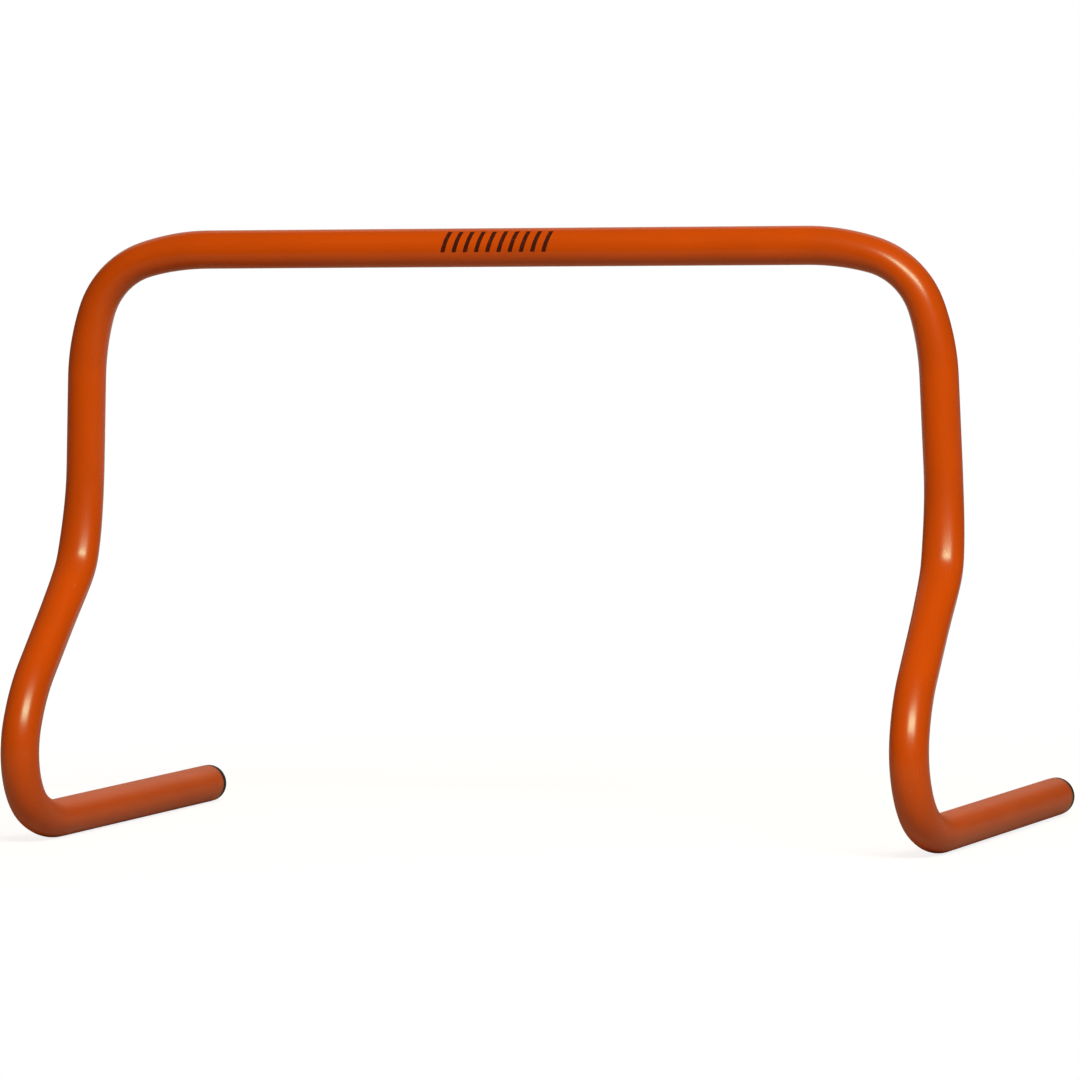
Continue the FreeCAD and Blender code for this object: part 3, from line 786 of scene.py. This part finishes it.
class HURDLE_OT_set_stage(bpy.types.Operator):
    """Lay the floor, hang the lamps and place the camera"""

    bl_idname = "hurdle.set_stage"
    bl_label = "Set the stage"

    # The floor, and where and how far it clears to white
    FLOOR_SIZE = 14.0
    CLEAR_NEAR = 0.2
    CLEAR_FAR = 0.7
    LEAST_WHITE = 0.7
    FLOOR_LIFT = 0.46
    # The white backdrop, and how much of it a gloss shows
    BACKDROP_MIDDLE = math.radians(5)
    BACKDROP_EDGE = math.radians(20)
    SWEEP_START = 0.3
    SWEEP_END = 0.8
    MIRRORED_SHARE = 0.2
    # The camera
    SENSOR_WIDTH = 36
    FAR_CLIP = 50

    def seen(self, tree, backdrop):
        """How much of the white background a ray shows: all of it from the camera or through glass, the
        backdrop's share off a gloss, and none of it otherwise."""
        rays = add_node(tree, "ShaderNodeLightPath").outputs
        mirrored = add_node(tree, "ShaderNodeMath", {
            0: rays["Is Glossy Ray"], 1: backdrop}, operation="MULTIPLY").outputs[0]
        straight = add_node(tree, "ShaderNodeMath", {
            0: rays["Is Camera Ray"], 1: rays["Is Transmission Ray"]}, operation="MAXIMUM").outputs[0]
        return add_node(tree, "ShaderNodeMath", {
            0: straight, 1: mirrored}, operation="MAXIMUM").outputs[0]

    def lay_floor(self, look):
        """A pale table top that keeps the shadow near the object, clears to white away from it and ends in
        front where it has cleared, so that the front of the tube shows the dim room past its edge."""
        clear_selection()
        bpy.ops.mesh.primitive_plane_add(
            size=self.FLOOR_SIZE, location=(0, self.FLOOR_SIZE / 2 - self.CLEAR_FAR, 0))
        floor = bpy.context.object
        floor.name = "floor"
        bpy.ops.object.transform_apply(location=True)
        material, tree, output = new_material("matt_white_paper")
        place = add_node(tree, "ShaderNodeTexCoord").outputs["Object"]
        away = add_node(tree, "ShaderNodeVectorMath", {0: place}, operation="LENGTH").outputs["Value"]
        clear = add_node(tree, "ShaderNodeMapRange", {
            "Value": away, "From Min": self.CLEAR_NEAR, "From Max": self.CLEAR_FAR,
            "To Min": self.LEAST_WHITE}, interpolation_type="SMOOTHSTEP").outputs[0]
        back = add_node(tree, "ShaderNodeSeparateXYZ", {0: place}).outputs["Y"]
        sweep = add_node(tree, "ShaderNodeMapRange", {
            "Value": back, "From Min": self.SWEEP_START, "From Max": self.SWEEP_END,
            "To Max": self.MIRRORED_SHARE}, interpolation_type="SMOOTHSTEP").outputs[0]
        seen = self.seen(tree, sweep)
        shown = add_node(tree, "ShaderNodeMath", {0: clear, 1: seen}, operation="MULTIPLY").outputs[0]
        lift = add_node(tree, "ShaderNodeMath", {
            0: seen, 1: self.FLOOR_LIFT}, operation="MULTIPLY").outputs[0]
        tint = add_node(tree, "ShaderNodeMix", {
            MIX_SHARE: seen, MIX_UNDER: (*look.floor_colour, 1), MIX_OVER: (*look.paper_colour, 1)},
            data_type="RGBA").outputs[MIXED]
        paper = add_node(tree, "ShaderNodeBsdfPrincipled", {
            "Base Color": tint, "Roughness": 0.9, "Specular IOR Level": 0.1})
        glow = add_node(tree, "ShaderNodeEmission", {"Strength": lift})
        near = add_node(tree, "ShaderNodeAddShader", {0: paper.outputs[0], 1: glow.outputs[0]})
        white = add_node(tree, "ShaderNodeEmission")
        both = add_node(tree, "ShaderNodeMixShader", {0: shown, 1: near.outputs[0], 2: white.outputs[0]})
        tree.links.new(both.outputs[0], output.inputs["Surface"])
        floor.data.materials.append(material)

    def hang_lamp(self, name, place, size, power, colour, tilt=0, mirrored=True):
        """A soft lamp that faces the middle of the object, turned about its own beam by the tilt. A gloss
        shows it only where it is mirrored."""
        place = Vector(place)
        aim = Vector((0, 0, TUBE_HIGH.z / 2)) - place
        facing = aim.to_track_quat("-Z", "Y") @ Quaternion(Z_AXIS, tilt)
        bpy.ops.object.light_add(type="AREA", location=place, rotation=facing.to_euler())
        lamp = bpy.context.object
        lamp.name = name
        lamp.visible_camera = False
        lamp.visible_glossy = mirrored
        lamp.data.shape = "RECTANGLE"
        lamp.data.size, lamp.data.size_y = size
        lamp.data.energy = power
        lamp.data.color = colour

    def light_room(self, scene, look):
        """A dim room that is seen as plain white. A gloss shows it dim too, apart from a share of the white
        backdrop behind the object."""
        scene.world = bpy.data.worlds.new("studio")
        scene.world.use_nodes = True
        tree = scene.world.node_tree
        tree.nodes.clear()
        towards = add_node(tree, "ShaderNodeTexCoord").outputs["Generated"]
        behind = Matrix.Rotation(look.azimuth, 3, "Z") @ Y_AXIS
        facing = add_node(tree, "ShaderNodeVectorMath", {
            0: towards, 1: behind}, operation="DOT_PRODUCT").outputs["Value"]
        backdrop = add_node(tree, "ShaderNodeMapRange", {
            "Value": facing, "From Min": math.cos(self.BACKDROP_EDGE),
            "From Max": math.cos(self.BACKDROP_MIDDLE), "To Max": self.MIRRORED_SHARE},
            interpolation_type="SMOOTHSTEP").outputs[0]
        seen = self.seen(tree, backdrop)
        dim = add_node(tree, "ShaderNodeBackground", {
            "Color": (*look.room_colour, 1), "Strength": look.room})
        white = add_node(tree, "ShaderNodeBackground", {"Color": (1, 1, 1, 1)})
        both = add_node(tree, "ShaderNodeMixShader", {0: seen, 1: dim.outputs[0], 2: white.outputs[0]})
        add_node(tree, "ShaderNodeOutputWorld", {"Surface": both.outputs[0]})

    def place_camera(self, scene, look):
        """A long lens at the picture's angle."""
        turn = (Matrix.Rotation(look.roll, 3, "Y") @ Matrix.Rotation(look.elevation, 3, "X")
                @ Matrix.Rotation(-look.azimuth, 3, "Z"))
        back = turn.transposed()
        place = Vector(look.aim) - back @ Vector((look.offset[0], look.distance, look.offset[1]))
        axes = Matrix((back @ X_AXIS, back @ Z_AXIS, -(back @ Y_AXIS))).transposed()
        bpy.ops.object.camera_add(location=place, rotation=axes.to_euler())
        camera = bpy.context.object
        camera.data.sensor_width = self.SENSOR_WIDTH
        camera.data.lens = look.lens
        camera.data.clip_end = self.FAR_CLIP
        scene.camera = camera

    def execute(self, context):
        look = context.scene.hurdle_stage
        colour = look.lamp_colour
        self.lay_floor(look)
        self.hang_lamp("key_lamp", look.key_place, look.key_size, look.key_power, colour, look.key_tilt)
        self.hang_lamp("back_panel", look.panel_place, look.panel_size, look.panel_power, colour)
        self.hang_lamp(
            "back_fill", look.fill_place, look.fill_size, look.fill_power, colour, mirrored=False)
        self.light_room(context.scene, look)
        self.place_camera(context.scene, look)
        context.scene.view_settings.view_transform = "Standard"
        return {"FINISHED"}


class HURDLE_PT_sidebar(bpy.types.Panel):
    """Settings and steps of the hurdle"""

    bl_label = "Speed Hurdle"
    bl_space_type = "VIEW_3D"
    bl_region_type = "UI"
    bl_category = "Hurdle"

    def draw(self, context):
        for step, group in STEPS:
            box = self.layout.box()
            settings = getattr(context.scene, group)
            for name in settings.__annotations__:
                box.prop(settings, name)
            box.operator(step.bl_idname)


STEPS = (
    (HURDLE_OT_bend_tube, "hurdle_tube"),
    (HURDLE_OT_fit_plugs, "hurdle_plug"),
    (HURDLE_OT_print_bar, "hurdle_print"),
    (HURDLE_OT_set_stage, "hurdle_stage"),
)
SETTINGS = {
    "hurdle_tube": TubeSettings,
    "hurdle_plug": PlugSettings,
    "hurdle_print": PrintSettings,
    "hurdle_stage": StageSettings,
}
CLASSES = (*SETTINGS.values(), *(step for step, _ in STEPS), HURDLE_PT_sidebar)


def register():
    for cls in CLASSES:
        bpy.utils.register_class(cls)
    for name, group in SETTINGS.items():
        setattr(bpy.types.Scene, name, PointerProperty(type=group))


def unregister():
    for name in SETTINGS:
        delattr(bpy.types.Scene, name)
    for cls in reversed(CLASSES):
        bpy.utils.unregister_class(cls)


def main():
    register()
    bpy.ops.hurdle.bend_tube()
    bpy.ops.hurdle.fit_plugs()
    bpy.ops.hurdle.print_bar()
    bpy.ops.hurdle.set_stage()


if __name__ == "__main__":
    main()
